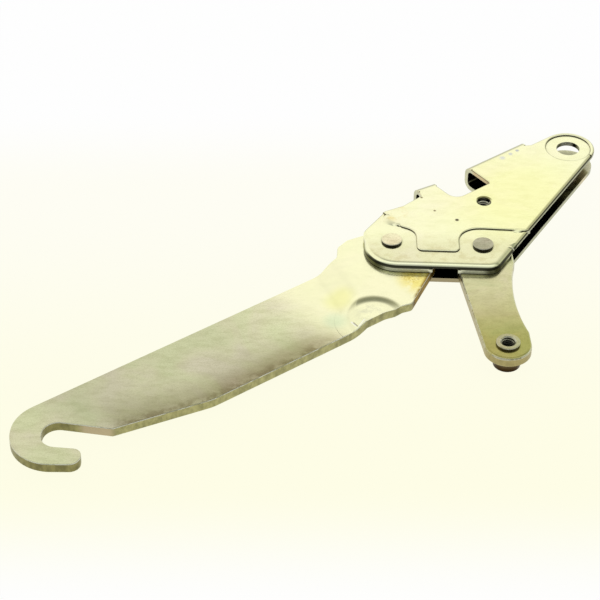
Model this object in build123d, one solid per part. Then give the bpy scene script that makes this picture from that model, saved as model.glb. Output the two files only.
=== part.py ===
from build123d import *
import math
import os

# Door hinge of a dishwasher: a folded sheet housing with an eyelet, a long hooked arm
# and a short link with a threaded bush. All sizes are in millimetres.
# Plan: X to the right, Y away from the front edge, Z up. The origin is on the eyelet's
# axis, at the outer face of the lower cheek.

# Sheet, plate and heights
SHEET = 1.5            # thickness of the housing's sheet
PLATE = 3.0            # thickness of the arm and of the link
PLAY = 0.15            # free height above and below a moving plate
RIVET_COLLAR = 1.2     # collar of a rivet, between a moving plate and the upper cheek
RIVET_SHOULDER = 0.5   # shoulder of a rivet, between the lower cheek and a moving plate
RECESS = 0.5           # depth of the pressed-in lobes of the upper cheek
FOOT = 0.7             # height of the rivets' closed ends under the lower cheek
FOLD_R = 3.0           # outside radius of the fold at the back
EDGE_R = 0.6           # rolled-over edge of the blanked sheet
SIDE_R = 1.3           # rolled-over slanted edge
OVERCUT = 1.0          # how far a cutting tool reaches past the faces it cuts

# Pivots and holes, plan positions
ARM_PIVOT = (-61.2, -51.4)
LINK_PIVOT = (-32.4, -53.7)
SCREW_AT = (-30.5, -30.6)
EYELET_R = 3.9         # hole in both cheeks
EYELET_END_R = 8.8     # round end of the cheeks
EYELET_RIM = 1.4       # rim left standing round the pressed-in ring
THREAD_R = 2.1         # core of an M5 thread
SCREW_COLLAR_R = 3.4   # drawn collar under the threaded hole
SCREW_ENTRY = 0.7      # rounded entry of the threaded hole

# Rivets
PIN_R = 3.25           # ends through the cheeks
JOURNAL_R = 4.0        # middle, on which a plate turns
COLLAR_R = 5.6         # collar over a plate and shoulder under it
CLOSED_R = 4.6         # closed end under the lower cheek
RUN = 0.05             # radial running clearance
RIVET_HEAD = 0.9       # upper end standing above the lobe
RIVET_EDGE = 0.3       # broken edge of the upper end

# Fold lines at the back: one point of each, its direction, the run of its web along it
FOLD_AT = (-34.4, -12.3)
FOLD_DEG = 37.0
MAIN_WEB = (0.4, 24.4)
SMALL_AT = (-45.9, -21.0)
SMALL_DEG = 29.0
SMALL_WEB = (-6.9, 0.0)
WEB_BACK = 1.9         # outer face of the webs behind their fold lines
WEB_SHOULDER = 1.6     # from the main web to the round end's shoulder
WEB_STEP = (0.6, 2.2)  # relief beside the small web, along and across its fold line
NOTCH_DEPTH = 10.3     # notch between the webs, measured from the main fold line
NOTCH_AT = -14.4       # its far corner along that line
NOTCH_R = 3.6

# Front lip and its window
LIP_LEFT_R = 11.0
LIP_RIGHT_R = 5.0
LIP_R = 2.2            # outside radius of the lip's bend
LIP_SET = 2.0          # lip's outer face ahead of the lower cheek
LIP_BAND = 5.0         # plan width in which the lip is formed
LIP_TAPER = 5.0        # length over which the lip runs out at each end
LIP_FLAT = 1.0         # last of that length, where the lip has run out
LIP_FADE = 0.5         # how far the lip's bend moves out beyond it
SIDE_SET = 0.4         # lower cheek's slanted edge behind the upper one's
WINDOW = (-48.9, -40.9)
WINDOW_TOP = 6.8       # height up to which the window is cut
LOBE_R = 8.6
LOBE_SET = 1.0         # lobes' centres ahead of the pivots

# Hooked arm
ARM_REACH = 129.0      # from its pivot to the middle of the hook's slot
ARM_DEG = 220.57
ARM_EDGE = 0.3         # broken upper edge
JOGGLE_RUN = 5.6       # plan length of the joggle's slope
JOGGLE_IN = 8.0        # inside radius of both bends
JOGGLE_AT = (-81.8, -60.6)
JOGGLE_DEG = 22.15     # plan direction across the joggle, towards the head
MOON_AT = (-67.6, -84.4)
MOON_R = 9.7
MOON_SLOPE = 2.5       # plan width of the half-moon's wall
MOON_DEPTH = 0.9
MOON_RIM_R = 2.0       # rounding of the wall's upper and lower ends
MOON_FOOT_R = 4.0
MOON_RISE = 0.08       # rise of the tool's rim above the plate for each millimetre out

# Short link and bush
LINK_REACH = 44.83     # from its pivot to the bush
LINK_DEG = -84.24
LINK_HEAD_R = 9.5
LINK_END_R = 7.2
LINK_EDGE = 0.9
WAIST = 2.3            # depth of the link's waist
WAIST_RUN = 34.0       # its length along the edge
BUSH_NECK_R = 3.1
BUSH_RING_R = 3.7
BUSH_RING = 0.9
BUSH_COLLAR_R = 4.2
BUSH_FOOT = 5.1        # length of the bush below the link
BUSH_EDGE = 0.35
BUSH_MOUTH = 0.4       # chamfer of the bush's bore

# Plan corners, each with its radius
LEFT_BACK = (-57.0, -33.0, 3.0)
LEFT_TURN = (-63.2, -36.0, 3.0)
LEFT_TOP = (-70.1, -46.3, 5.0)
FRONT_LEFT = (-70.1, -63.1)
FRONT_RIGHT = -65.1    # front line's Y at the slanted edge
LIP_END_LEFT = -50.0
LIP_END_RIGHT = -54.6
SIDE_DEG = 59.0        # direction of the slanted right edge
TONGUE_LEFT = -56.7    # front corners of the raised tongue between the lobes
TONGUE_RIGHT = -57.4
TONGUE_R = 2.0
# Corners of the lobes' back edges from the lobes' centres, with radii, in shares of LOBE_R
RIGHT_LOBE = [(1.2, 1.0, 1.2), (0.1, 1.09, 1.0), (-0.86, 1.09, 0.75)]
LEFT_LOBE = [(0.91, 0.67, 0.55), (0.38, 0.95, 0.12)]
HEAD_CORNERS = [
    (-64.1, -82.3, 8.0),
    (-55.9, -79.2, 2.0),
    (-46.8, -58.1, 7.0),
    (-52.8, -40.8, 8.0),
    (-64.3, -41.8, 6.0),
    (-75.3, -47.2, 2.5),
    (-78.4, -51.0, 2.5),
    (-78.7, -56.2, 2.5),
    (-83.8, -61.4, 12.0),
]
HOOK_CORNERS = [
    (-14.4, 8.0, 13.0),
    (-14.4, -12.3, 12.9),
    (6.8, -12.4, 3.2),
    (6.8, -5.9, 2.6),
    (-5.7, -4.5, 4.6),
    (-4.7, 5.9, 4.6),
    (15.0, 2.4, 1.0),
    (43.5, 15.0, 15.0),
]

# Heights that follow
PLATE_LOW = SHEET + RIVET_SHOULDER + PLAY
PLATE_TOP = PLATE_LOW + PLATE
LIP_LOW = PLATE_TOP + PLAY
LOBE_IN = LIP_LOW + RIVET_COLLAR
LOBE_OUT = LOBE_IN + SHEET
CHEEK_IN = LOBE_IN + RECESS
CHEEK_OUT = LOBE_OUT + RECESS
RIVET_TOP = LOBE_OUT + RIVET_HEAD
EYELET_RING_R = EYELET_END_R - EYELET_RIM
BUSH_LOW = PLATE_LOW - BUSH_FOOT
BUSH_TOP = PLATE_TOP + BUSH_RING
FAR = 200.0            # well outside the hinge
UPWARD = 0.5           # least upright part of an upper face's normal
PARALLEL = 0.9999      # share of a direction from which an edge runs along the joggle's bends


def reach(at, length, degrees):
    """The plan point at a distance and a direction from another."""
    angle = math.radians(degrees)
    return (at[0] + length * math.cos(angle), at[1] + length * math.sin(angle))


HOOK_AT = reach(ARM_PIVOT, ARM_REACH, ARM_DEG)
BUSH_AT = reach(LINK_PIVOT, LINK_REACH, LINK_DEG)
ARM_LOBE = (ARM_PIVOT[0], ARM_PIVOT[1] - LOBE_SET)
LINK_LOBE = (LINK_PIVOT[0], LINK_PIVOT[1] - LOBE_SET)


def outline(corners):
    """A closed face from (x, y, radius) corners."""
    edges = []
    last = None
    first = None
    count = len(corners)
    for i in range(count):
        x, y, r = corners[i]
        p = Vector(x, y)
        a = Vector(*corners[i - 1][:2]) - p
        b = Vector(*corners[(i + 1) % count][:2]) - p
        a = a.normalized()
        b = b.normalized()
        start = p
        end = p
        if r > 0:
            half = math.acos(max(-1.0, min(1.0, a.dot(b)))) / 2
            reach = r / math.tan(half)
            middle = (a + b).normalized()
            start = p + a * reach
            end = p + b * reach
            top = p + middle * (r / math.sin(half) - r)
        if last is None:
            first = start
        elif (start - last).length > 1e-6:
            edges.append(Line(last, start))
        if r > 0:
            edges.append(ThreePointArc(start, top, end))
        last = end
    if (first - last).length > 1e-6:
        edges.append(Line(last, first))
    return make_face(Wire(edges))


def slab(face, low, high):
    """The face drawn up from one height to another."""
    return extrude(Pos(0, 0, low) * face, amount=high - low, dir=(0, 0, 1))


def rod(at, radius, low, high):
    """An upright cylinder between two heights."""
    return Pos(at[0], at[1], (low + high) / 2) * Cylinder(radius, high - low)


def beside(at, degrees, s, n):
    """A plan point along and behind a line."""
    return reach(reach(at, s, degrees), n, degrees + 90)


def fold(s, n):
    """A plan point along and behind the main fold line."""
    return beside(FOLD_AT, FOLD_DEG, s, n)


def small(s, n):
    """A plan point along and behind the small web's fold line."""
    return beside(SMALL_AT, SMALL_DEG, s, n)


def disc(at, radius):
    """A round face."""
    return Pos(at[0], at[1]) * Circle(radius)


# Housing: plan outlines of both cheeks
bend = WEB_BACK - FOLD_R
ray = (math.cos(math.radians(SIDE_DEG)), math.sin(math.radians(SIDE_DEG)))
eye_n = -math.sin(math.radians(FOLD_DEG)) * -FOLD_AT[0] + math.cos(math.radians(FOLD_DEG)) * -FOLD_AT[1]
eye_s = math.cos(math.radians(FOLD_DEG)) * -FOLD_AT[0] + math.sin(math.radians(FOLD_DEG)) * -FOLD_AT[1]


def on_side(y, end_r=EYELET_END_R):
    """A point of a cheek's slanted right edge at a given Y."""
    return ((end_r + y * ray[0]) / ray[1], y)


def cheek(end_r, front):
    """A cheek's plan, from the radius of its round end and its front corners."""
    return outline([
        (*fold(eye_s, eye_n + end_r), 0),
        (*fold(MAIN_WEB[1] + WEB_SHOULDER, eye_n + end_r), EDGE_R),
        (*fold(MAIN_WEB[1], bend), 0),
        (*fold(MAIN_WEB[0], bend), 0),
        (*fold(MAIN_WEB[0], -NOTCH_DEPTH), EDGE_R),
        (*fold(NOTCH_AT, -NOTCH_DEPTH), NOTCH_R),
        (*small(SMALL_WEB[1], bend), 0),
        (*small(SMALL_WEB[0], bend), 0),
        (*small(SMALL_WEB[0] - WEB_STEP[0], bend - WEB_STEP[1]), EDGE_R),
        LEFT_BACK,
        LEFT_TURN,
        *front,
        (*on_side(-ray[0] * end_r, end_r), 0),
    ]) + Circle(end_r)


upper_face = cheek(EYELET_END_R, [
    LEFT_TOP,
    (*FRONT_LEFT, LIP_LEFT_R),
    (*on_side(FRONT_RIGHT), LIP_RIGHT_R),
])
lower_face = cheek(EYELET_END_R - SIDE_SET, [
    (LEFT_TOP[0] + LIP_SET, LEFT_TOP[1], LEFT_TOP[2]),
    (FRONT_LEFT[0] + LIP_SET, FRONT_LEFT[1] + LIP_SET, LIP_LEFT_R - LIP_SET),
    (*on_side(FRONT_RIGHT + LIP_SET, EYELET_END_R - SIDE_SET), LIP_RIGHT_R - LIP_SET),
])


def lobe(at, corner):
    """A corner of a lobe's back edge, in plan."""
    return tuple(a + LOBE_R * share for a, share in zip((*at, 0), corner))


# Pressed-in part of the upper cheek: both lobes, the front strip and the eyelet's ring
strip = outline([
    (-FAR, -FAR, 0),
    (FAR, -FAR, 0),
    (FAR, LINK_LOBE[1] + LOBE_R, 0),
    *[lobe(LINK_LOBE, corner) for corner in RIGHT_LOBE],
    (lobe(LINK_LOBE, RIGHT_LOBE[-1])[0], TONGUE_RIGHT, TONGUE_R),
    (lobe(ARM_LOBE, LEFT_LOBE[0])[0], TONGUE_LEFT, TONGUE_R),
    *[lobe(ARM_LOBE, corner) for corner in LEFT_LOBE],
    (LEFT_TURN[0] - LEFT_TURN[2], LEFT_TURN[1] + LEFT_TURN[2], 0),
    (-FAR, LEFT_TURN[1] + LEFT_TURN[2], 0),
])
high_face = upper_face - strip - Circle(EYELET_RING_R)

# Upper cheek: main level, lobes, ring. Only the fold lines keep a sharp rim
main_fold = Line(fold(MAIN_WEB[0], bend), fold(MAIN_WEB[1], bend))
small_fold = Line(small(SMALL_WEB[0], bend), small(SMALL_WEB[1], bend))


def is_fold(edge):
    """Whether an edge lies over a fold line."""
    middle = edge.center()
    plan = Vertex(middle.X, middle.Y, 0)
    return min(plan.distance_to(main_fold), plan.distance_to(small_fold)) < RUN


def rolled(body):
    """The body with its upper rim rolled over, but for the fold lines."""
    rim = body.faces().sort_by(Axis.Z)[-1].edges()
    return fillet([e for e in rim if not is_fold(e)], EDGE_R)


def roll(at, top, radius, along, outward, length, fade):
    """What a rolled edge takes off the sheet, from a point of its rim on, moving out by the fade."""
    plane = Plane(origin=(*at, top), x_dir=(*outward, 0), z_dir=Vector(*outward, 0).cross(Vector(0, 0, 1)))
    section = Pos(-radius, -radius) * (Rectangle(2 * radius, 2 * radius, align=Align.MIN) - Circle(radius))
    way = Vector(*along, 0) * length + Vector(*outward, 1) * fade
    return extrude(plane * section, amount=way.length, dir=way)


def side_roll(top):
    """What the wider roll of the slanted edge takes off below a height."""
    start = on_side(-ray[0] * EYELET_END_R)
    return roll(start, top, SIDE_R, (-ray[0], -ray[1]), (ray[1], -ray[0]), start[1] - FRONT_RIGHT, 0)


high = rolled(slab(high_face, CHEEK_IN, CHEEK_OUT)) - side_roll(CHEEK_OUT)
low = rolled(slab(upper_face, LOBE_IN, LOBE_OUT)) & slab(strip, LOBE_IN, LOBE_OUT)
low -= side_roll(LOBE_OUT)
upper = high + low + slab(Circle(EYELET_RING_R), LOBE_IN, LOBE_OUT)

# Lip: a rounded skirt round the front, hollow behind
front_zone = outline([
    (-FAR, -FAR, 0),
    (FAR, -FAR, 0),
    (FAR, LIP_END_RIGHT, 0),
    (on_side(LIP_END_RIGHT)[0] - LIP_BAND, LIP_END_RIGHT, 0),
    (on_side(FRONT_LEFT[1] + LIP_BAND)[0] - LIP_BAND, FRONT_LEFT[1] + LIP_BAND, 0),
    (FRONT_LEFT[0] + LIP_BAND, FRONT_LEFT[1] + LIP_BAND, 0),
    (FRONT_LEFT[0] + LIP_BAND, LIP_END_LEFT, 0),
    (-FAR, LIP_END_LEFT, 0),
])
skirt = slab(upper_face, LIP_LOW, LOBE_OUT)
rim = skirt.faces().sort_by(Axis.Z)[-1].outer_wire().edges()
front_rim = [e for e in rim if e.center().Y < LIP_END_LEFT and e.center().X < on_side(LIP_END_RIGHT)[0]]
skirt = fillet(front_rim, LIP_R)
skirt -= slab(offset(upper_face, -SHEET), LIP_LOW - OVERCUT, LOBE_IN)
skirt &= slab(front_zone, LIP_LOW - OVERCUT, LOBE_OUT + OVERCUT)
upper -= slab(front_zone, LIP_LOW - OVERCUT, CHEEK_OUT + OVERCUT)


def lip_end(at, along):
    """Wedge that lets the lip's lower edge rise to the sheet before an end of the lip."""
    plane = Plane(origin=(*at, LOBE_IN), x_dir=(*along, 0), z_dir=Vector(*along, 0).cross(Vector(0, 0, 1)))
    rise = LOBE_IN - LIP_LOW
    wedge = outline([
        (-LIP_TAPER, -rise, 0),
        (-LIP_TAPER, -2 * rise, 0),
        (OVERCUT, -2 * rise, 0),
        (OVERCUT, 0, 0),
        (-LIP_FLAT, 0, 0),
    ])
    return extrude(plane * wedge, amount=LIP_BAND, both=True)


left_end = (FRONT_LEFT[0], LIP_END_LEFT)
right_end = on_side(LIP_END_RIGHT)
right_out = (ray[1], -ray[0])
skirt -= lip_end(left_end, (0, 1)) + lip_end(right_end, ray)
upper -= roll(left_end, LOBE_OUT, LIP_R, (0, 1), (-1, 0), LIP_TAPER, LIP_FADE)
upper -= roll(right_end, LOBE_OUT, LIP_R, ray, right_out, LIP_TAPER, LIP_FADE)
upper += skirt

# Window in the lip, cut up into the bend
window = outline([
    (WINDOW[0], -FAR, 0),
    (WINDOW[1], -FAR, 0),
    (WINDOW[1], (FRONT_LEFT[1] + FRONT_RIGHT) / 2 + SHEET, 0),
    (WINDOW[0], (FRONT_LEFT[1] + FRONT_RIGHT) / 2 + SHEET, 0),
])
upper -= slab(window, LIP_LOW - OVERCUT, WINDOW_TOP)


def web(at, degrees, run):
    """A folded web: the sheet turned over from one cheek to the other."""
    c = math.cos(math.radians(degrees))
    d = math.sin(math.radians(degrees))
    start = reach(at, run[0], degrees)
    plane = Plane(origin=(start[0], start[1], 0), x_dir=(-d, c, 0), z_dir=(c, d, 0))
    inner = FOLD_R - SHEET
    section = outline([
        (bend, 0, 0),
        (WEB_BACK, 0, FOLD_R),
        (WEB_BACK, CHEEK_OUT, FOLD_R),
        (bend, CHEEK_OUT, 0),
        (bend, CHEEK_IN, 0),
        (WEB_BACK - SHEET, CHEEK_IN, inner),
        (WEB_BACK - SHEET, SHEET, inner),
        (bend, SHEET, 0),
    ])
    return extrude(plane * section, amount=run[1] - run[0], dir=(c, d, 0))


lower = slab(lower_face, 0, SHEET)
housing = upper + lower + web(SMALL_AT, SMALL_DEG, SMALL_WEB) + web(FOLD_AT, FOLD_DEG, MAIN_WEB)
housing += rod(SCREW_AT, SCREW_COLLAR_R, LIP_LOW, CHEEK_IN)
housing -= rod(SCREW_AT, THREAD_R, LIP_LOW - OVERCUT, CHEEK_OUT + OVERCUT)
entry = [e for e in housing.edges().filter_by(GeomType.CIRCLE) if abs(e.radius - THREAD_R) < RUN]
housing = fillet(ShapeList(entry).sort_by(Axis.Z)[-1], SCREW_ENTRY)
for at, radius in (((0, 0), EYELET_R), (ARM_PIVOT, PIN_R), (LINK_PIVOT, PIN_R)):
    housing -= rod(at, radius, -OVERCUT, CHEEK_OUT + OVERCUT)


# Rivets: closed end, lower end, shoulder, journal, collar, upper end
def rivet(at):
    """A stepped rivet standing at a plan point."""
    body = rod(at, CLOSED_R, -FOOT, 0)
    body += rod(at, PIN_R, 0, SHEET)
    body += rod(at, COLLAR_R, SHEET, PLATE_LOW - PLAY)
    body += rod(at, JOURNAL_R, PLATE_LOW - PLAY, LIP_LOW)
    body += rod(at, COLLAR_R, LIP_LOW, LOBE_IN)
    body += rod(at, PIN_R, LOBE_IN, RIVET_TOP)
    return fillet(body.edges().sort_by(Axis.Z)[-1], RIVET_EDGE)


arm_rivet = rivet(ARM_PIVOT)
link_rivet = rivet(LINK_PIVOT)

# Hooked arm: the joggled plate, cut to its outline
arm_face = outline(HEAD_CORNERS + [(HOOK_AT[0] + x, HOOK_AT[1] + y, r) for x, y, r in HOOK_CORNERS])
half = PLATE / 2
blade_mid = half - FOOT
head_mid = PLATE_LOW + half
lean = math.tan(math.atan2(head_mid - blade_mid, JOGGLE_RUN) / 2) * half
wide = JOGGLE_IN + PLATE
low_bend = -JOGGLE_RUN / 2
high_bend = JOGGLE_RUN / 2
joggle = outline([
    (-FAR, blade_mid - half, 0),
    (low_bend + lean, blade_mid - half, wide),
    (high_bend + lean, head_mid - half, JOGGLE_IN),
    (FAR, head_mid - half, 0),
    (FAR, head_mid + half, 0),
    (high_bend - lean, head_mid + half, wide),
    (low_bend - lean, blade_mid + half, JOGGLE_IN),
    (-FAR, blade_mid + half, 0),
])
across = (math.cos(math.radians(JOGGLE_DEG)), math.sin(math.radians(JOGGLE_DEG)), 0)
along = (across[1], -across[0], 0)
joggle_plane = Plane(origin=(JOGGLE_AT[0], JOGGLE_AT[1], 0), x_dir=across, z_dir=along)
plate = extrude(joggle_plane * joggle, amount=FAR, both=True)
arm_prism = slab(arm_face, -FOOT - OVERCUT, PLATE_TOP + OVERCUT)
arm = plate & arm_prism
tops = [f for f in arm.faces() if f.normal_at().Z > UPWARD]
rim = [e for f in tops for e in f.edges() if abs(e.tangent_at(0.5).dot(Vector(*along))) < PARALLEL]
arm = fillet(rim, ARM_EDGE)
moon = outline([
    (0, -MOON_DEPTH, 0),
    (MOON_R - MOON_SLOPE, -MOON_DEPTH, MOON_FOOT_R),
    (MOON_R, 0, MOON_RIM_R),
    (MOON_R + MOON_SLOPE, MOON_RISE * MOON_SLOPE, 0),
    (0, MOON_RISE * MOON_SLOPE, 0),
])
moon = revolve(Plane.XZ * moon, Axis.Z)
arm = arm - Pos(*MOON_AT, PLATE_TOP) * moon + (Pos(*MOON_AT, PLATE_LOW) * moon & arm_prism)
arm -= rod(ARM_PIVOT, JOURNAL_R + RUN, -FOOT - OVERCUT, PLATE_TOP + OVERCUT)

# Short link: two round ends, waisted on its right side
ends = disc(LINK_PIVOT, LINK_HEAD_R).edges() + disc(BUSH_AT, LINK_END_R).edges()
pivot = Vector(*LINK_PIVOT)
down = (Vector(*BUSH_AT) - pivot).normalized()
taper = (LINK_HEAD_R - LINK_END_R) / LINK_REACH
out = Vector(-down.Y, down.X) * math.sqrt(1 - taper * taper) + down * taper
edge_mid = pivot + down * LINK_REACH / 2 + out * (LINK_HEAD_R + LINK_END_R) / 2
waist_r = WAIST_RUN * WAIST_RUN / (8 * WAIST) + WAIST / 2
waist_at = edge_mid + out * (waist_r - WAIST)
link_face = make_hull(ends) - disc((waist_at.X, waist_at.Y), waist_r)
link = slab(link_face, PLATE_LOW, PLATE_TOP)
link = fillet(link.faces().sort_by(Axis.Z)[-1].outer_wire().edges(), LINK_EDGE)
link -= rod(LINK_PIVOT, JOURNAL_R + RUN, PLATE_LOW - OVERCUT, PLATE_TOP + OVERCUT)
link -= rod(BUSH_AT, BUSH_NECK_R, PLATE_LOW - OVERCUT, PLATE_TOP + OVERCUT)

# Threaded bush: collar under the link, neck through it, ring closed over it
bush = rod(BUSH_AT, BUSH_COLLAR_R, BUSH_LOW, PLATE_LOW)
bush += rod(BUSH_AT, BUSH_NECK_R, PLATE_LOW, PLATE_TOP)
bush += rod(BUSH_AT, BUSH_RING_R, PLATE_TOP, BUSH_TOP)
bush = fillet(bush.edges().sort_by(Axis.Z)[-1], BUSH_EDGE)
bush = chamfer(bush.edges().sort_by(Axis.Z)[0], BUSH_EDGE)
bush -= rod(BUSH_AT, THREAD_R, BUSH_LOW - OVERCUT, BUSH_TOP + OVERCUT)
mouth = [e for e in bush.edges().filter_by(GeomType.CIRCLE) if abs(e.radius - THREAD_R) < RUN]
bush = chamfer(ShapeList(mouth).sort_by(Axis.Z)[-1], BUSH_MOUTH)

os.makedirs("parts", exist_ok=True)
export_step(housing, "parts/hinge_housing.step")
export_step(arm, "parts/hook_arm.step")
export_step(link, "parts/short_link.step")
export_step(arm_rivet, "parts/arm_rivet.step")
export_step(link_rivet, "parts/link_rivet.step")
export_step(bush, "parts/threaded_bush.step")
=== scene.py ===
import math

import bpy
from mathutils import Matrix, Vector


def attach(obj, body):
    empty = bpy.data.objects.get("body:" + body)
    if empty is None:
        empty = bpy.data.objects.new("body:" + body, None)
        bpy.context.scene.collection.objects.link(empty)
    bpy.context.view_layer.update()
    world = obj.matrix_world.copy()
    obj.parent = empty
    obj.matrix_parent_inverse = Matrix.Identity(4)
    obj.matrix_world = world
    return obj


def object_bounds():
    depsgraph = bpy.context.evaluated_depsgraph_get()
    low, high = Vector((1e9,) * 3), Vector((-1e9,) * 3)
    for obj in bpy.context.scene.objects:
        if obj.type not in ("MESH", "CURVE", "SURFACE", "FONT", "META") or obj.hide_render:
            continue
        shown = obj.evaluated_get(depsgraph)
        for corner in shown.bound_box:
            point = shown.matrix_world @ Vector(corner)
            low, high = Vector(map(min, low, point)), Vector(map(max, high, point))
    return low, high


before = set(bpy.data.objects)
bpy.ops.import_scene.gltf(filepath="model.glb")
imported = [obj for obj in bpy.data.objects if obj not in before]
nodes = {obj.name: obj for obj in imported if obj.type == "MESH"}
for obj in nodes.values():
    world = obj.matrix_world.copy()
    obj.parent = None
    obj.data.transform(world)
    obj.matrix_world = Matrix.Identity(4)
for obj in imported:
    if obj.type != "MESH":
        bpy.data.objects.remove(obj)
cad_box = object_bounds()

scene = bpy.context.scene
MM = 0.001


# Camera: the photograph's angle, a long lens from the front and above
ELEVATION = math.radians(39.0)
DISTANCE = 0.6154
AIM = Vector((-0.0903, -0.0778, 0.0053))
LENS = 120.0
SENSOR = 36.0
CLIP_NEAR = 0.01
CLIP_FAR = 20.0

forward = Vector((0.0, math.cos(ELEVATION), -math.sin(ELEVATION)))
camera_data = bpy.data.cameras.new("camera")
camera_data.lens = LENS
camera_data.sensor_width = SENSOR
camera_data.sensor_fit = "HORIZONTAL"
camera_data.clip_start = CLIP_NEAR
camera_data.clip_end = CLIP_FAR
camera = bpy.data.objects.new("camera", camera_data)
scene.collection.objects.link(camera)
camera.location = AIM - forward * DISTANCE
camera.rotation_euler = forward.to_track_quat("-Z", "Y").to_euler()
scene.camera = camera


# Node helpers
class Tree:
    """A short way to write the nodes of a material or a world."""

    def __init__(self, owner):
        owner.use_nodes = True
        self.nodes = owner.node_tree.nodes
        self.links = owner.node_tree.links

    def link(self, value, socket):
        """Joins a socket, or sets a plain value."""
        if hasattr(value, "is_output"):
            self.links.new(value, socket)
        else:
            socket.default_value = value

    def place(self):
        return self.nodes.new("ShaderNodeTexCoord").outputs["Object"]

    def turned(self, vector, scale, turn=0.0, shift=(0.0, 0.0, 0.0)):
        node = self.nodes.new("ShaderNodeMapping")
        node.inputs["Scale"].default_value = scale
        node.inputs["Rotation"].default_value = (0.0, 0.0, math.radians(turn))
        node.inputs["Location"].default_value = shift
        self.links.new(vector, node.inputs["Vector"])
        return node.outputs["Vector"]

    def noise(self, vector, scale, detail, rough, warp=0.0):
        node = self.nodes.new("ShaderNodeTexNoise")
        node.inputs["Scale"].default_value = scale
        node.inputs["Detail"].default_value = detail
        node.inputs["Roughness"].default_value = rough
        node.inputs["Distortion"].default_value = warp
        self.links.new(vector, node.inputs["Vector"])
        return node.outputs["Fac"]

    def ramp(self, value, stops):
        node = self.nodes.new("ShaderNodeValToRGB")
        elements = node.color_ramp.elements
        while len(elements) < len(stops):
            elements.new(0.5)
        for element, (at, colour) in zip(elements, stops):
            element.position = at
            element.color = (*colour, 1.0)
        self.links.new(value, node.inputs["Fac"])
        return node.outputs["Color"]

    def span(self, value, low, high, out_low=0.0, out_high=1.0):
        """A smooth step from out_low at low to out_high at high."""
        node = self.nodes.new("ShaderNodeMapRange")
        node.interpolation_type = "SMOOTHSTEP"
        node.inputs["From Min"].default_value = low
        node.inputs["From Max"].default_value = high
        node.inputs["To Min"].default_value = out_low
        node.inputs["To Max"].default_value = out_high
        self.links.new(value, node.inputs["Value"])
        return node.outputs["Result"]

    def fall(self, value, low, high):
        """A smooth step from 1 at low to 0 at high."""
        return self.span(value, low, high, 1.0, 0.0)

    def math(self, kind, a, b=0.0):
        node = self.nodes.new("ShaderNodeMath")
        node.operation = kind
        self.link(a, node.inputs[0])
        self.link(b, node.inputs[1])
        return node.outputs[0]

    def both(self, mask, *others):
        """The product of masks."""
        for other in others:
            mask = self.math("MULTIPLY", mask, other)
        return mask

    def mix(self, factor, a, b, kind="MIX"):
        node = self.nodes.new("ShaderNodeMix")
        node.data_type = "RGBA"
        node.blend_type = kind
        self.link(factor, node.inputs[0])
        self.link(a if hasattr(a, "is_output") else (*a, 1.0), node.inputs[6])
        self.link(b if hasattr(b, "is_output") else (*b, 1.0), node.inputs[7])
        return node.outputs[2]

    def part_of(self, vector, axis):
        """One part of a vector."""
        node = self.nodes.new("ShaderNodeSeparateXYZ")
        self.links.new(vector, node.inputs["Vector"])
        return node.outputs[axis]

    def beyond(self, vector, at, toward):
        """Distance (m) past the upright plane through a plan point (mm), along a plan direction."""
        size = math.hypot(*toward)
        way = (toward[0] / size, toward[1] / size, 0.0)
        dot = self.nodes.new("ShaderNodeVectorMath")
        dot.operation = "DOT_PRODUCT"
        self.links.new(vector, dot.inputs[0])
        dot.inputs[1].default_value = way
        start = (at[0] * way[0] + at[1] * way[1]) * MM
        return self.math("SUBTRACT", dot.outputs["Value"], start)


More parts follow.
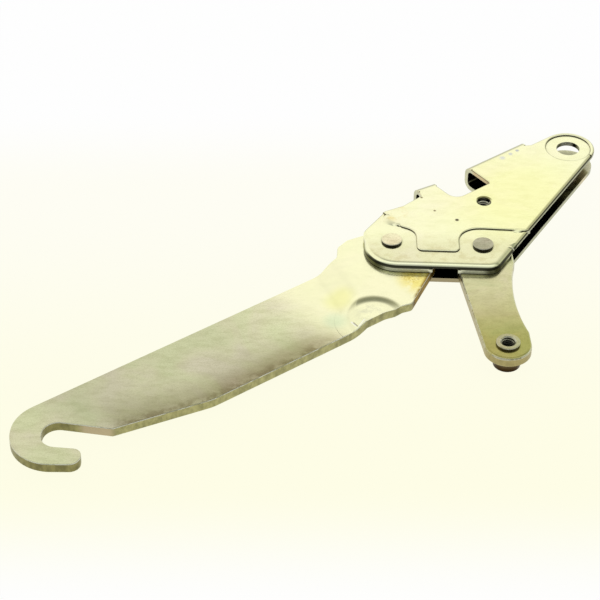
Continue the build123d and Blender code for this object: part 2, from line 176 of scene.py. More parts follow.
class Zinc(Tree):
    """Yellow-passivated zinc plate: pale gold metal with green and pink patches and a fine grain."""

    # Noise: scale, detail, roughness and warp
    PATCHES = (60.0, 3.0, 0.55, 0.6)
    CLOUDS = (260.0, 4.0, 0.62)
    STREAKS = (1.0, 5.0, 0.7)
    FINE = (1700.0, 3.0, 0.65)
    WALL_GRAIN = (1.0, 4.0, 0.65)
    # Stretch of the streaks along the sheet and of the grain down its walls
    STREAK_STRETCH = (190.0, 460.0, 300.0)
    WALL_STRETCH = (500.0, 500.0, 300.0)
    # Where each noise turns from one tone to the next
    TONE_STOPS = (0.34, 0.5, 0.66)
    STREAK_SPAN = (0.40, 0.68)
    FINE_SPAN = (0.42, 0.70)
    MIDDLE_SPAN = (0.3, 0.7)
    # The streaks' and the fine grain's tint, added to the grain's own level
    STREAK_TINT = (0.0, 0.0, -0.04)
    FINE_TINT = (0.03, 0.03, 0.01)
    # Roughness below and above the middle
    SMOOTHER = 0.03
    ROUGHER = 0.05
    # Upward facing of walls, of the rounding above them and of a scratched face
    WALL_SPAN = (0.2, 0.6)
    ROLL_START = (0.05, 0.25)
    ROLL_END = (0.70, 0.86)
    STROKE_SPAN = (0.8, 0.9)
    # A stroke's solid core and the run-out at its ends, as shares of its width and length
    STROKE_CORE = 0.3
    STROKE_TAPER = 0.2
    # Worn edges with a painted edge highlight, painted shade in crevices, and bump
    RIM_WIDTH = 0.3
    RIM_SPAN = (0.88, 0.99)
    RIM_SAMPLES = 6
    WEAR_AND_HIGHLIGHT_CLOUDS = (0.36, 0.56)
    WEAR_AND_HIGHLIGHT_LEAST = 0.1
    WEAR_AND_HIGHLIGHT_COLOUR = (0.97, 0.96, 0.82)
    WEAR_AND_HIGHLIGHT_ROUGH = 0.35
    CREVICE_SHADE_SPAN = (0.30, 0.95)
    CREVICE_SHADE_TONE = (1.0, 0.9, 0.7)
    CREVICE_SAMPLES = 8
    BUMP_SHARE = 0.5
    BUMP_DISTANCE = 0.2 * MM

    def __init__(self, name, turn, shift, tones, rough, grain=0.84):
        self.material = bpy.data.materials.new(name)
        super().__init__(self.material)
        self.shader = self.nodes["Principled BSDF"]
        self.at = self.place()
        self.up = self.facing("Z")
        self.level = 0.0
        self.matt = 0.0
        here = self.turned(self.at, (1.0, 1.0, 1.0), 0.0, shift)
        patches = self.noise(here, *self.PATCHES)
        self.cloud = self.noise(here, *self.CLOUDS)
        self.streak = self.noise(self.turned(self.at, self.STREAK_STRETCH, turn, shift), *self.STREAKS)
        self.fine = self.noise(self.at, *self.FINE)
        self.colour = self.ramp(patches, list(zip(self.TONE_STOPS, tones)))
        self.tint(self.span(self.streak, *self.STREAK_SPAN), [grain + v for v in self.STREAK_TINT])
        self.tint(self.span(self.fine, *self.FINE_SPAN), [grain + v for v in self.FINE_TINT])
        self.rough = self.span(
            self.cloud, *self.MIDDLE_SPAN, rough - self.SMOOTHER, rough + self.ROUGHER)

    def facing(self, axis):
        """How far a face looks along an axis, 1 to -1."""
        return self.part_of(self.nodes.new("ShaderNodeNewGeometry").outputs["Normal"], axis)

    def spot(self, at, radius, soft):
        """1 within radius of a point (mm in plan and height), 0 beyond radius plus soft."""
        node = self.nodes.new("ShaderNodeVectorMath")
        node.operation = "DISTANCE"
        self.links.new(self.at, node.inputs[0])
        node.inputs[1].default_value = tuple(v * MM for v in at)
        return self.fall(node.outputs["Value"], radius * MM, (radius + soft) * MM)

    def ring(self, outer, inner):
        """1 between two spots about one point, each a place, radius and soft edge (mm)."""
        return self.math("SUBTRACT", self.spot(*outer), self.spot(*inner))

    def past(self, at, toward):
        """Distance (m) of the piece's points past a plan point (mm), along a plan direction."""
        return self.beyond(self.at, at, toward)

    def clouded(self, *span):
        """The plate's clouds, as a mask."""
        return self.span(self.cloud, *span)

    def openness(self, reach, alone):
        """1 on an open face, near 0 in a narrow gap of the piece alone or of all pieces."""
        node = self.nodes.new("ShaderNodeAmbientOcclusion")
        node.samples = self.CREVICE_SAMPLES
        node.only_local = alone
        node.inputs["Distance"].default_value = reach * MM
        return node.outputs["AO"]

    def rim(self):
        """1 along an edge, 0 on flat faces."""
        soft = self.nodes.new("ShaderNodeBevel")
        soft.samples = self.RIM_SAMPLES
        soft.inputs["Radius"].default_value = self.RIM_WIDTH * MM
        flat = self.nodes.new("ShaderNodeNewGeometry")
        dot = self.nodes.new("ShaderNodeVectorMath")
        dot.operation = "DOT_PRODUCT"
        self.links.new(soft.outputs["Normal"], dot.inputs[0])
        self.links.new(flat.outputs["Normal"], dot.inputs[1])
        return self.fall(dot.outputs["Value"], *self.RIM_SPAN)

    def rolled(self):
        """1 on the narrow rounding between an upper face and a wall."""
        return self.both(self.span(self.up, *self.ROLL_START), self.fall(self.up, *self.ROLL_END))

    def tint(self, mask, colour):
        """Multiplies the colour where the mask is 1."""
        self.colour = self.mix(mask, self.colour, colour, "MULTIPLY")

    def paint(self, mask, colour):
        """Lays a colour over the plate where the mask is 1."""
        self.colour = self.mix(mask, self.colour, colour)

    def dull(self, mask, amount):
        """Adds roughness where the mask is 1."""
        self.rough = self.math("ADD", self.rough, self.math("MULTIPLY", mask, amount))

    def walls(self, colour, rough, contrast=0.80):
        """Upright faces, such as sheared edges: darker, duller and drawn upright."""
        mask = self.fall(self.math("ABSOLUTE", self.up), *self.WALL_SPAN)
        grain = self.noise(self.turned(self.at, self.WALL_STRETCH), *self.WALL_GRAIN)
        shade = tuple(contrast * c for c in colour)
        self.paint(mask, self.mix(self.span(grain, *self.MIDDLE_SPAN), shade, colour))
        self.dull(mask, rough)

    def iron(self, mask, low, high):
        """Shades a slope as level where the mask is 1, above an upward facing of low to high."""
        mask = self.both(mask, self.span(self.up, low, high))
        self.level = self.math("MAXIMUM", self.level, mask)

    def stroke(self, start, end, width):
        """1 along a thin line between two plan points (mm)."""
        run = (end[0] - start[0], end[1] - start[1])
        length = math.hypot(*run) * MM
        taper = self.STROKE_TAPER * length
        across = self.math("ABSOLUTE", self.past(start, (-run[1], run[0])))
        along = self.past(start, run)
        return self.both(
            self.fall(across, self.STROKE_CORE * width * MM, width * MM),
            self.span(along, 0.0, taper),
            self.span(self.up, *self.STROKE_SPAN),
            self.fall(along, length - taper, length))

    def finish(self, reach=14.0, alone=True, dark=0.05, bump=0.05, wear_and_highlight=0.5, rolled=1.0):
        """Worn edges with a painted edge highlight, painted shade in crevices and a fine bump."""
        # Edges and roundings painted pale and matt: wear together with a painted edge highlight
        edge = self.math("MAXIMUM", self.rim(), self.math("MULTIPLY", self.rolled(), rolled))
        edge = self.both(edge, self.clouded(*self.WEAR_AND_HIGHLIGHT_CLOUDS, self.WEAR_AND_HIGHLIGHT_LEAST * wear_and_highlight, wear_and_highlight))
        self.paint(edge, self.WEAR_AND_HIGHLIGHT_COLOUR)
        self.dull(edge, self.WEAR_AND_HIGHLIGHT_ROUGH)
        # Painted shade: darker where the ambient occlusion finds a narrow gap
        crevice_shade = self.fall(self.openness(reach, alone), *self.CREVICE_SHADE_SPAN)
        self.tint(crevice_shade, tuple(dark * v for v in self.CREVICE_SHADE_TONE))
        height = self.math(
            "ADD", self.math("MULTIPLY", self.streak, self.BUMP_SHARE),
            self.math("MULTIPLY", self.fine, self.BUMP_SHARE))
        upward = self.nodes.new("ShaderNodeMix")
        upward.data_type = "VECTOR"
        self.link(self.level, upward.inputs[0])
        own = self.nodes.new("ShaderNodeNewGeometry").outputs["Normal"]
        self.links.new(own, upward.inputs[4])
        upward.inputs[5].default_value = (0.0, 0.0, 1.0)
        relief = self.nodes.new("ShaderNodeBump")
        relief.inputs["Strength"].default_value = bump
        relief.inputs["Distance"].default_value = self.BUMP_DISTANCE
        self.links.new(height, relief.inputs["Height"])
        self.links.new(upward.outputs[1], relief.inputs["Normal"])
        metal = self.math("SUBTRACT", 1.0, self.math("MAXIMUM", edge, self.matt))
        for value, name in (
                (relief.outputs["Normal"], "Normal"), (self.colour, "Base Color"),
                (self.rough, "Roughness"), (metal, "Metallic")):
            self.link(value, self.shader.inputs[name])


# Housing: palest of all, a little darker on its pressed-in front, grey over its folds and on faces to the
# right as painted shade.
# A spot is a place, a radius and a soft edge in mm. A span is a start and an end, of a length in
# metres, of a facing or of a noise
HOUSING_TONES = ((0.99, 1.0, 0.68), (1.0, 1.0, 0.69), (1.0, 0.98, 0.72))
HOUSING_WALL = (0.66, 0.66, 0.48)
TOP = 8.5
PANEL_HOLE = (-30.5, -30.6)
# Pressed-in front
STEP_AT, STEP_WAY = (-45.0, -46.0), (0.03, -1.0)
FRONT_START = (0.0, 10.0 * MM)
LEVEL_SPAN = (0.90, 0.98)
FRONT_TINT = (0.87, 0.86, 0.84)
FRONT_CLOUDS, FRONT_CLOUD_TINT = (0.46, 0.66), (0.90, 0.87, 0.82)
# Golden right half and smudged left corner
RIGHT_SPOT, RIGHT_TINT = ((-19.0, -29.0, TOP), 8.0, 26.0), (1.0, 1.0, 0.82)
CORNER_SPOT, CORNER_TINT = ((-61.0, -36.5, 8.2), 2.5, 4.0), (0.92, 0.82, 0.62)
SMUDGE_CLOUDS = (0.42, 0.62)
# Walls of the pressed steps, and painted shade on the folds at the back and on faces to the right
STEP_HEIGHT, STEP_FACING = (7.9 * MM, 8.0 * MM), (0.5, 0.96)
STEP_PAINT, STEP_ROUGH = (0.80, 0.74, 0.50), 0.30
FOLD_HEIGHT, FOLD_FACING = (3.0 * MM, 6.0 * MM), (0.05, 0.25)
FOLD_SHADE = (0.50, 0.50, 0.48)
RIGHT_FACING, RIGHT_FACE_SHADE = (0.15, 0.45), (0.60, 0.61, 0.55)
# Shade behind the threaded hole
HOLE_OUTER, HOLE_INNER = ((*PANEL_HOLE, TOP), 2.5, 0.5), ((*PANEL_HOLE, TOP), 2.1, 0.3)
HOLE_BACK, HOLE_BACK_START = (0.1, 1.0), (0.3 * MM, 1.8 * MM)
HOLE_TINT = (0.32, 0.31, 0.22)
# Pits, three soft bluish marks, and painted shade: the lower cheek's shade, the eyelet's floor and the
# window's corners
MARKS = (
    ((-39.9, -40.9, TOP), 0.35, 0.5, (0.12, 0.10, 0.06)),
    ((-46.8, -35.9, TOP), 0.20, 0.4, (0.30, 0.24, 0.14)),
    ((-50.7, -28.7, TOP), 0.20, 0.4, (0.30, 0.24, 0.14)),
    ((-22.6, -6.2, TOP), 0.2, 1.3, (0.74, 0.76, 0.72)),
    ((-19.7, -3.9, TOP), 0.2, 0.9, (0.68, 0.70, 0.68)),
    ((-17.3, -1.9, TOP), 0.3, 0.6, (0.56, 0.58, 0.60)),
    ((-44.9, -62.0, 0.75), 4.5, 2.0, (0.34, 0.29, 0.19)),
    # Painted shade on the lower cheek inside the eyelet
    ((0.0, -5.5, 1.0), 5.0, 2.0, (0.66, 0.56, 0.36)),
    # Painted shade in both of the window's corners
    ((-49.1, -63.6, 5.9), 0.7, 0.5, (0.06, 0.05, 0.03)),
    ((-40.7, -64.0, 5.9), 0.7, 0.5, (0.06, 0.05, 0.03)),
)
# The lip: a bend darkened by painted shade, a wall below it painted pale and matt as a painted reflection,
# and two ends darkened by painted shade
UPRIGHT_SPAN = (0.3, 0.75)
LIP_HEIGHT = (4.6 * MM, 5.2 * MM)
BEND_TOP, BEND_FOOT, BEND_FRONT = (0.62, 0.72), (0.24, 0.34), (-0.15, -0.45)
BEND_SHADE = (0.10, 0.10, 0.09)
CUT_SPOT, CUT_PAINT = ((-28.5, -16.0, 7.8), 4.0, 2.0), (0.62, 0.50, 0.30)
LIP_TOP, LIP_FRONT = (0.16, 0.32), (-0.80, -0.95)
LIP_REFLECTION_PAINT, LIP_MATT = (0.96, 0.97, 0.80), 0.75
LIP_ENDS = (((-69.0, -56.5, 6.2), 5.0, 4.0), ((-28.0, -63.5, 6.2), 3.0, 3.0))
LIP_END_SHADE = (0.20, 0.20, 0.14)
# Shade between the housing and its neighbours
GAP_REACH, GAP_SPAN, GAP_TINT = 3.5, (0.45, 0.9), (0.55, 0.55, 0.48)

housing_coat = Zinc(
    "housing_zinc", turn=10.0, shift=(0.3, 0.1, 0.2), tones=HOUSING_TONES, rough=0.13, grain=0.95)
height = housing_coat.part_of(housing_coat.at, "Z")
backward = housing_coat.facing("Y")
in_front = housing_coat.both(
    housing_coat.span(housing_coat.past(STEP_AT, STEP_WAY), *FRONT_START),
    housing_coat.span(housing_coat.up, *LEVEL_SPAN))
housing_coat.tint(in_front, FRONT_TINT)
housing_coat.tint(
    housing_coat.both(in_front, housing_coat.clouded(*FRONT_CLOUDS)), FRONT_CLOUD_TINT)
housing_coat.tint(housing_coat.spot(*RIGHT_SPOT), RIGHT_TINT)
corner = housing_coat.both(
    housing_coat.spot(*CORNER_SPOT), housing_coat.clouded(*SMUDGE_CLOUDS))
housing_coat.tint(corner, CORNER_TINT)
housing_coat.walls(HOUSING_WALL, rough=0.05)
step = housing_coat.both(
    housing_coat.span(height, *STEP_HEIGHT), housing_coat.fall(housing_coat.up, *STEP_FACING))
housing_coat.paint(step, STEP_PAINT)
housing_coat.dull(step, STEP_ROUGH)
# Painted shade: grey on the fold's faces turned backwards
over_fold = housing_coat.both(
    housing_coat.span(backward, *FOLD_FACING), housing_coat.span(height, *FOLD_HEIGHT))
housing_coat.tint(over_fold, FOLD_SHADE)
# Painted shade on faces turned to the right
housing_coat.tint(
    housing_coat.span(housing_coat.facing("X"), *RIGHT_FACING), RIGHT_FACE_SHADE)
behind_hole = housing_coat.span(housing_coat.past(PANEL_HOLE, HOLE_BACK), *HOLE_BACK_START)
housing_coat.tint(
    housing_coat.both(housing_coat.ring(HOLE_OUTER, HOLE_INNER), behind_hole), HOLE_TINT)
for *mark, colour in MARKS:
    housing_coat.paint(housing_coat.spot(*mark), colour)
upright = housing_coat.fall(housing_coat.up, *UPRIGHT_SPAN)
on_lip = housing_coat.span(height, *LIP_HEIGHT)
# Painted shade: a dark band over the lip's front-facing bend
lip_bend_shade = housing_coat.both(
    housing_coat.fall(housing_coat.up, *BEND_TOP), housing_coat.span(housing_coat.up, *BEND_FOOT),
    housing_coat.span(backward, *BEND_FRONT), on_lip)
housing_coat.tint(lip_bend_shade, BEND_SHADE)
housing_coat.paint(housing_coat.both(upright, housing_coat.spot(*CUT_SPOT)), CUT_PAINT)
# Painted reflection: the lip's front wall painted pale and matt
lip_wall = housing_coat.both(
    upright, housing_coat.span(backward, *LIP_FRONT),
    housing_coat.fall(housing_coat.up, *LIP_TOP), on_lip)
housing_coat.paint(lip_wall, LIP_REFLECTION_PAINT)
housing_coat.matt = housing_coat.math("MULTIPLY", lip_wall, LIP_MATT)
# Painted shade at both ends of the lip
for lip_end in LIP_ENDS:
    housing_coat.tint(housing_coat.both(upright, housing_coat.spot(*lip_end)), LIP_END_SHADE)
gap = housing_coat.fall(housing_coat.openness(GAP_REACH, False), *GAP_SPAN)
housing_coat.tint(gap, GAP_TINT)
housing_coat.finish(wear_and_highlight=0.15, rolled=0.0)

# Arm: darker towards its hook by painted shade, stained along its lower edge, a golden smear where the head
# leaves the housing
ARM_TONES = ((0.95, 0.99, 0.64), (0.99, 0.98, 0.68), (1.0, 0.95, 0.73))
ARM_WALL = (0.48, 0.46, 0.24)
STEEP_SPAN = (0.3, 0.8)
# Painted shade: brightness along the arm, as shares of its run from the hook
ARM_AT, ARM_WAY, ARM_RUN = (-160.0, -136.0), (0.73, 0.68), 110.0 * MM
ARM_SHADE_STOPS = ((0.0, 0.70), (0.11, 0.57), (0.34, 0.64), (0.58, 0.66), (0.78, 0.80), (0.95, 1.0))
HEAD_START, HEAD_COVER = (82.0 * MM, 96.0 * MM), (0.0, 0.75)
HEAD_PAINT = (1.0, 0.995, 0.68)
# The blade's lower edge has two straight runs. Each is a plan point and the way in from the edge
EDGE_NEAR = ((-144.2, -132.9), (-12.6, 28.5))
EDGE_FAR = ((-115.7, -120.3), (-38.0, 51.6))
EDGE_START = (-1.2 * MM, -0.6 * MM)
BLADE_START, BLADE_END = (12.0 * MM, 20.0 * MM), (78.0 * MM, 96.0 * MM)
LOW_HALF_IN, LOW_HALF_TINT = (2.0 * MM, 15.0 * MM), (0.70, 0.69, 0.62)
FRINGE_IN, FRINGE_CLOUDS = (0.4 * MM, 4.5 * MM), (0.36, 0.6)
FRINGE_TINT = (0.66, 0.62, 0.54)
BLUSH_START, BLUSH_IN = (40.0 * MM, 52.0 * MM), (2.0 * MM, 8.0 * MM)
BLUSH_TINT = (0.86, 0.81, 0.80)
# Hook and its slot
HOOK_END, HOOK_TINT = (4.0 * MM, 12.0 * MM), (0.66, 0.64, 0.56)
SLOT_SPOT, SLOT_PAINT = ((-149.0, -133.6, 0.8), 3.5, 3.0), (0.50, 0.42, 0.30)
# Half-moon: a mottled, bluish-grey floor, a soft rim and a shaded arc at its back
FLOOR_SPOT, FLOOR_TINT = ((-68.5, -82.5, 4.3), 1.5, 5.0), (0.80, 0.80, 0.86)
MOON = (-67.6, -84.4, 4.7)
RIM_OUTER, RIM_INNER, RIM_FACING = (MOON, 10.6, 0.4), (MOON, 7.6, 2.2), (0.80, 0.90)
ARC_OUTER, ARC_INNER = (MOON, 8.4, 1.2), (MOON, 6.6, 1.4)
ARC_WAY, ARC_START, ARC_TINT = (0.1, 1.0), (2.0 * MM, 7.0 * MM), (0.46, 0.46, 0.40)
# Joggle tints and the scratches in the half-moon
JOGGLE_TINTS = (
    ((-78.5, -74.9, 4.5), 2.0, 5.0, (1.0, 1.0, 0.78)),
    ((-79.6, -84.3, 3.5), 1.5, 4.0, (0.84, 0.93, 0.94)),
)
SCRATCHES = (
    ((-74.9, -84.9), (-72.9, -87.8), 0.35, (1.0, 1.0, 0.92)),
    ((-74.2, -85.4), (-72.5, -88.0), 0.30, (0.50, 0.48, 0.36)),
    ((-72.6, -88.0), (-70.4, -85.6), 0.35, (1.0, 1.0, 0.92)),
)
# Golden smear, specks under the lip and the brown burr along the head's right edge
SMEAR_SPOT, SMEAR_CLOUDS = ((-52.0, -66.5, 5.15), 4.0, 6.5), (0.30, 0.55, 0.3, 1.0)
SMEAR_TINT = (0.97, 0.87, 0.44)
SPECK_SPOT, SPECK_FINE = ((-55.0, -65.4, 5.15), 2.0, 3.0), (0.44, 0.60)
SPECK_TINT = (0.78, 0.70, 0.50)
BURR_SPOT, BURR_CLOUDS = ((-50.5, -69.0, 3.0), 9.0, 3.0), (0.4, 0.6)
BURR_DARK, BURR_PALE, BURR_ROUGH = (0.10, 0.055, 0.006), (0.36, 0.23, 0.04), 0.2
BURR_AT, BURR_WAY, BURR_IN = (-49.3, -63.7), (-13.4, 5.6), (0.1 * MM, 1.2 * MM)
BURR_EDGE_SPOT = ((-51.6, -69.5, 5.15), 6.0, 3.0)
BURR_EDGE_CLOUDS, BURR_EDGE_PAINT = (0.36, 0.52, 0.2, 1.0), (0.34, 0.22, 0.03)

arm_coat = Zinc(
    "arm_zinc", turn=36.0, shift=(0.0, 0.4, 0.0), tones=ARM_TONES, rough=0.18, grain=0.88)
along = arm_coat.past(ARM_AT, ARM_WAY)
arm_shade = arm_coat.ramp(
    arm_coat.math("DIVIDE", along, ARM_RUN), [(at, (v, v, v)) for at, v in ARM_SHADE_STOPS])
arm_coat.tint(1.0, arm_shade)
arm_coat.paint(arm_coat.span(along, *HEAD_START, *HEAD_COVER), HEAD_PAINT)
from_edge = arm_coat.math("MINIMUM", arm_coat.past(*EDGE_NEAR), arm_coat.past(*EDGE_FAR))
on_blade = arm_coat.both(
    arm_coat.span(along, *BLADE_START), arm_coat.fall(along, *BLADE_END),
    arm_coat.span(from_edge, *EDGE_START))
arm_coat.tint(arm_coat.both(on_blade, arm_coat.fall(from_edge, *LOW_HALF_IN)), LOW_HALF_TINT)
fringe = arm_coat.both(
    on_blade, arm_coat.fall(from_edge, *FRINGE_IN), arm_coat.clouded(*FRINGE_CLOUDS))
arm_coat.tint(fringe, FRINGE_TINT)
blush = arm_coat.both(
    on_blade, arm_coat.span(along, *BLUSH_START), arm_coat.fall(from_edge, *BLUSH_IN))
arm_coat.tint(blush, BLUSH_TINT)
arm_coat.walls(ARM_WALL, rough=0.15, contrast=0.58)
steep = arm_coat.fall(arm_coat.up, *STEEP_SPAN)
arm_coat.tint(arm_coat.both(arm_coat.fall(along, *HOOK_END), steep), HOOK_TINT)
arm_coat.paint(arm_coat.both(arm_coat.spot(*SLOT_SPOT), steep), SLOT_PAINT)
arm_coat.tint(
    arm_coat.both(arm_coat.spot(*FLOOR_SPOT), arm_coat.clouded(*SMUDGE_CLOUDS)), FLOOR_TINT)
arm_coat.iron(arm_coat.ring(RIM_OUTER, RIM_INNER), *RIM_FACING)
arc = arm_coat.both(
    arm_coat.ring(ARC_OUTER, ARC_INNER), arm_coat.span(arm_coat.past(MOON, ARC_WAY), *ARC_START))
arm_coat.tint(arc, ARC_TINT)
for *patch, colour in JOGGLE_TINTS:
    arm_coat.tint(arm_coat.spot(*patch), colour)
for *scratch, colour in SCRATCHES:
    arm_coat.paint(arm_coat.stroke(*scratch), colour)
arm_coat.tint(
    arm_coat.both(arm_coat.spot(*SMEAR_SPOT), arm_coat.clouded(*SMEAR_CLOUDS)), SMEAR_TINT)
specks = arm_coat.both(
    arm_coat.spot(*SPECK_SPOT), arm_coat.span(arm_coat.fine, *SPECK_FINE))
arm_coat.tint(specks, SPECK_TINT)
burr = arm_coat.both(arm_coat.spot(*BURR_SPOT), steep)
arm_coat.paint(burr, arm_coat.mix(arm_coat.clouded(*BURR_CLOUDS), BURR_DARK, BURR_PALE))
arm_coat.dull(burr, BURR_ROUGH)
burr_edge = arm_coat.both(
    arm_coat.fall(arm_coat.past(BURR_AT, BURR_WAY), *BURR_IN), arm_coat.spot(*BURR_EDGE_SPOT),
    arm_coat.clouded(*BURR_EDGE_CLOUDS))
arm_coat.paint(burr_edge, BURR_EDGE_PAINT)
arm_coat.finish(wear_and_highlight=0.9)

# Link: yellower, darker towards its bush
LINK_TONES = ((0.66, 0.69, 0.41), (0.71, 0.69, 0.42), (0.71, 0.66, 0.45))
LINK_WALL = (0.42, 0.36, 0.18)
LINK_AT, LINK_WAY, LINK_RUN = (-30.0, -66.0), (0.1, -1.0), (0.0, 34.0 * MM)
LINK_END_TINT = (0.64, 0.61, 0.33)

link_coat = Zinc(
    "link_zinc", turn=-80.0, shift=(0.7, 0.0, 0.1), tones=LINK_TONES, rough=0.2, grain=0.88)
link_coat.tint(link_coat.span(link_coat.past(LINK_AT, LINK_WAY), *LINK_RUN), LINK_END_TINT)
link_coat.walls(LINK_WALL, rough=0.1)
link_coat.finish()

# Rivets: greyer, with sides painted nearly black as painted shade
ARM_RIVET_TONES = ((0.92, 0.90, 0.62), (0.98, 0.92, 0.64), (0.98, 0.86, 0.62))
LINK_RIVET_TONES = ((0.50, 0.50, 0.36), (0.54, 0.51, 0.38), (0.54, 0.48, 0.38))
RIVET_SIDE_SHADE = (0.05, 0.045, 0.03)

rivet_coats = []
for rivet_name, rivet_turn, rivet_shift, rivet_tones in (
        ("arm_rivet_steel", 0.0, (0.1, 0.9, 0.3), ARM_RIVET_TONES),
        ("link_rivet_steel", 40.0, (0.5, 0.2, 0.6), LINK_RIVET_TONES)):
    rivet_coat = Zinc(rivet_name, rivet_turn, rivet_shift, rivet_tones, rough=0.24, grain=0.80)
    # Painted shade: the rivets' sides painted nearly black
    rivet_coat.walls(RIVET_SIDE_SHADE, rough=0.0)
    rivet_coat.finish(bump=0.12)
    rivet_coats.append(rivet_coat)

# Bush: darker and browner below the link, with painted shade towards its foot
BUSH_TONES = ((0.52, 0.53, 0.31), (0.55, 0.52, 0.31), (0.55, 0.49, 0.32))
BUSH_WALL = (0.38, 0.32, 0.18)
BUSH_FOOT, BUSH_FOOT_SHADE = (-2.2 * MM, 1.2 * MM), (0.34, 0.22, 0.15)

bush_coat = Zinc("bush_zinc", turn=0.0, shift=(0.2, 0.2, 0.8), tones=BUSH_TONES, rough=0.2)
bush_coat.walls(BUSH_WALL, rough=0.05)
# Painted shade: darker and browner towards the bush's foot
bush_coat.tint(bush_coat.fall(bush_coat.part_of(bush_coat.at, "Z"), *BUSH_FOOT), BUSH_FOOT_SHADE)
bush_coat.finish(reach=6.0, alone=False)

# Thread ridges of the upper cheek
THREAD_TONES = ((0.78, 0.80, 0.52), (0.80, 0.78, 0.52), (0.80, 0.74, 0.54))

thread_coat = Zinc("thread_zinc", turn=0.0, shift=(0.4, 0.7, 0.1), tones=THREAD_TONES, rough=0.3)
thread_coat.finish(reach=1.5, alone=False, dark=0.25)

coats = {
    "hinge_housing": housing_coat,
    "hook_arm": arm_coat,
    "short_link": link_coat,
    "arm_rivet": rivet_coats[0],
    "link_rivet": rivet_coats[1],
    "threaded_bush": bush_coat,
}
for node_name, coat in coats.items():
    mesh = nodes[node_name].data
    mesh.materials.clear()
    mesh.materials.append(coat.material)


# New pieces
def loft(name, sections, smooth, material, body):
    """A closed piece through equal sections of points (mm), smooth along each one's first edges."""
    row = len(sections[0])
    runs = len(sections) - 1
    faces = []
    for i in range(runs):
        for k in range(row):
            a, b = row * i + k, row * i + (k + 1) % row
            faces.append((a, b, b + row, a + row))
    faces.append(tuple(reversed(range(row))))
    faces.append(tuple(row * runs + k for k in range(row)))
    mesh = bpy.data.meshes.new(name)
    mesh.from_pydata(
        [tuple(v * MM for v in point) for section in sections for point in section], [], faces)
    rounded = [k < smooth for _ in range(runs) for k in range(row)] + [False, False]
    mesh.polygons.foreach_set("use_smooth", rounded)
    mesh.materials.append(material)
    piece = bpy.data.objects.new(name, mesh)
    scene.collection.objects.link(piece)
    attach(piece, body)


# Thread ridges in both threaded holes (mm)
THREAD_PITCH = 0.8
THREAD_STEPS = 40
WALL_RADIUS, CREST_RADIUS = 2.13, 1.84
RIDGE_HALF, CREST_HALF = 0.36, 0.06
RIDGE = (
    (WALL_RADIUS, -RIDGE_HALF), (CREST_RADIUS, -CREST_HALF),
    (CREST_RADIUS, CREST_HALF), (WALL_RADIUS, RIDGE_HALF))
BUSH_HOLE = (-27.9, -98.3)


def thread(name, at, low, high, body, material):
    """A helical ridge standing out of a hole's wall."""
    sections = []
    for i in range(int((high - low) / THREAD_PITCH * THREAD_STEPS) + 1):
        turned = 2.0 * math.pi * i / THREAD_STEPS
        middle = low + THREAD_PITCH * i / THREAD_STEPS
        sections.append([
            (at[0] + radius * math.cos(turned), at[1] + radius * math.sin(turned), middle + up)
            for radius, up in RIDGE])
    loft(name, sections, 0, material, body)


thread("panel_thread", PANEL_HOLE, 5.75, 7.4, "housing", thread_coat.material)
thread("bush_thread", BUSH_HOLE, -2.5, 5.2, "link", bush_coat.material)

# Short slopes over both outer ends of the pressed steps, which fade out in the photograph (mm)
RAMP_HIGH, RAMP_LOW, RAMP_BOTTOM = 8.505, 7.985, 7.2
RAMP_BACK, RAMP_OVER, RAMP_SWEEP = 0.95, 0.12, 8
# The back edge dips under the cheek's face, and so do both ends
BACK_EDGE, BACK_DIP, END_DIP = 0.2, 0.05, 0.6
LEFT_ENDS, LEFT_DOWN = ((-63.1, -37.2), (-58.0, -44.1)), (-0.805, -0.593)
LEFT_WIDTHS = (1.0, 1.8, 2.5, 2.9, 2.8, 2.0, 0.7, 0.1)
RIGHT_ENDS, RIGHT_DOWN = ((-23.0, -46.05), (-17.6, -46.1)), (-0.85, -0.53)
RIGHT_WIDTHS = (0.1, 0.7, 1.6, 2.1, 2.0, 1.2)


def fade(name, ends, widths, down):
    """A ramp from the cheek's main level to its pressed-in level, between two plan points."""
    last = len(widths) - 1
    sections = []
    for i, width in enumerate(widths):
        at = [a + (b - a) * i / last for a, b in zip(*ends)]
        profile = [(-RAMP_BACK, RAMP_HIGH - BACK_DIP), (BACK_EDGE - RAMP_BACK, RAMP_HIGH)]
        for k in range(RAMP_SWEEP + 1):
            share = k / RAMP_SWEEP
            fall = share * share * (3.0 - 2.0 * share)
            profile.append((RAMP_OVER + share * width, RAMP_HIGH - (RAMP_HIGH - RAMP_LOW) * fall))
        profile += [(RAMP_OVER + width, RAMP_BOTTOM), (-RAMP_BACK, RAMP_BOTTOM)]
        sunk = 0.0 if 0 < i < last else END_DIP
        sections.append([
            (at[0] + out * down[0], at[1] + out * down[1], up - sunk) for out, up in profile])
    loft(name, sections, RAMP_SWEEP + 2, housing_coat.material, "housing")


fade("left_fade", LEFT_ENDS, LEFT_WIDTHS, LEFT_DOWN)
fade("right_fade", RIGHT_ENDS, RIGHT_WIDTHS, RIGHT_DOWN)


# Floor: pale paper, warmer in front and white far from the part
FLOOR = 3.0
FLOOR_Z = cad_box[0][2]
PAPER_FRONT = (1.0, 0.99, 0.80)
PAPER_BACK = (1.0, 0.99, 0.91)
PAPER_MIDDLE = (0.0, -80.0)
PAPER_TURN = (-60.0 * MM, 80.0 * MM)
PAPER_END = (70.0 * MM, 120.0 * MM)
PAPER_ROUGH = 0.9
PAPER_SEEN = 0.97
WHITE = (1.0, 1.0, 1.0)

floor_mesh = bpy.data.meshes.new("floor")
floor_mesh.from_pydata(
    [(-FLOOR, -FLOOR, FLOOR_Z), (FLOOR, -FLOOR, FLOOR_Z), (FLOOR, FLOOR, FLOOR_Z), (-FLOOR, FLOOR, FLOOR_Z)],
    [], [(0, 1, 2, 3)])
floor = bpy.data.objects.new("floor", floor_mesh)
scene.collection.objects.link(floor)

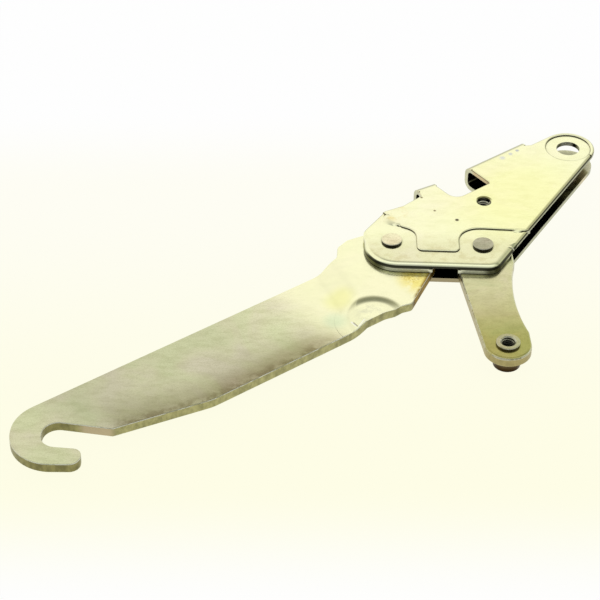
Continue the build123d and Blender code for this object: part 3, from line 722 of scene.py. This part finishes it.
paper_material = bpy.data.materials.new("floor_paper")
paper = Tree(paper_material)
behind = paper.beyond(paper.place(), PAPER_MIDDLE, (0.0, 1.0))
warm = paper.mix(paper.span(behind, *PAPER_TURN), PAPER_FRONT, PAPER_BACK)
far = paper.span(paper.math("ABSOLUTE", behind), *PAPER_END)
sheet = paper.mix(far, warm, WHITE)
matt_paper = paper.nodes["Principled BSDF"]
paper.links.new(sheet, matt_paper.inputs["Base Color"])
matt_paper.inputs["Roughness"].default_value = PAPER_ROUGH
glow = paper.nodes.new("ShaderNodeEmission")
paper.links.new(sheet, glow.inputs["Color"])
path = paper.nodes.new("ShaderNodeLightPath")
seen = paper.math("MAXIMUM", path.outputs["Is Camera Ray"], path.outputs["Is Glossy Ray"])
seen = paper.math("MAXIMUM", seen, path.outputs["Is Transmission Ray"])
blend = paper.nodes.new("ShaderNodeMixShader")
paper.links.new(paper.math("MULTIPLY", seen, PAPER_SEEN), blend.inputs["Fac"])
paper.links.new(matt_paper.outputs["BSDF"], blend.inputs[1])
paper.links.new(glow.outputs["Emission"], blend.inputs[2])
paper.links.new(blend.outputs["Shader"], paper.nodes["Material Output"].inputs["Surface"])
floor_mesh.materials.append(paper_material)

# Studio sky: bright at the back and overhead, dim between them and dimmest in front.
# Each stop is an angle in degrees from the back horizon over the top to the front horizon
SKY = [
    (0.0, (1.00, 0.99, 0.93)),
    (43.0, (1.00, 0.99, 0.92)),
    (52.0, (0.80, 0.79, 0.73)),
    (62.0, (0.58, 0.58, 0.54)),
    (76.0, (0.42, 0.44, 0.42)),
    (85.0, (0.98, 1.00, 0.96)),
    (103.0, (0.97, 1.00, 0.99)),
    (116.0, (0.52, 0.55, 0.55)),
    (132.0, (0.34, 0.36, 0.36)),
    (141.0, (0.22, 0.23, 0.23)),
    (156.0, (0.26, 0.27, 0.27)),
    (168.0, (0.50, 0.51, 0.50)),
    (180.0, (0.66, 0.67, 0.64)),
]
HALF_TURN = 180.0
# A broad panel fills in from the left and the back
PANEL = (0.96, 0.95, 0.88)
PANEL_LEFT = (-0.18, -0.45)
PANEL_BACK = (-0.30, 0.05)

world = bpy.data.worlds.new("studio")
scene.world = world
sky = Tree(world)
direction = sky.nodes.new("ShaderNodeTexCoord").outputs["Generated"]
rightward, away, above = (sky.part_of(direction, axis) for axis in "XYZ")
turn = sky.math("DIVIDE", sky.math("ARCTAN2", above, away), math.pi)
shade = sky.ramp(turn, [(angle / HALF_TURN, colour) for angle, colour in SKY])
panel = sky.both(sky.span(rightward, *PANEL_LEFT), sky.span(away, *PANEL_BACK))
sky.links.new(sky.mix(panel, shade, PANEL), sky.nodes["Background"].inputs["Color"])

scene.view_settings.view_transform = "Standard"
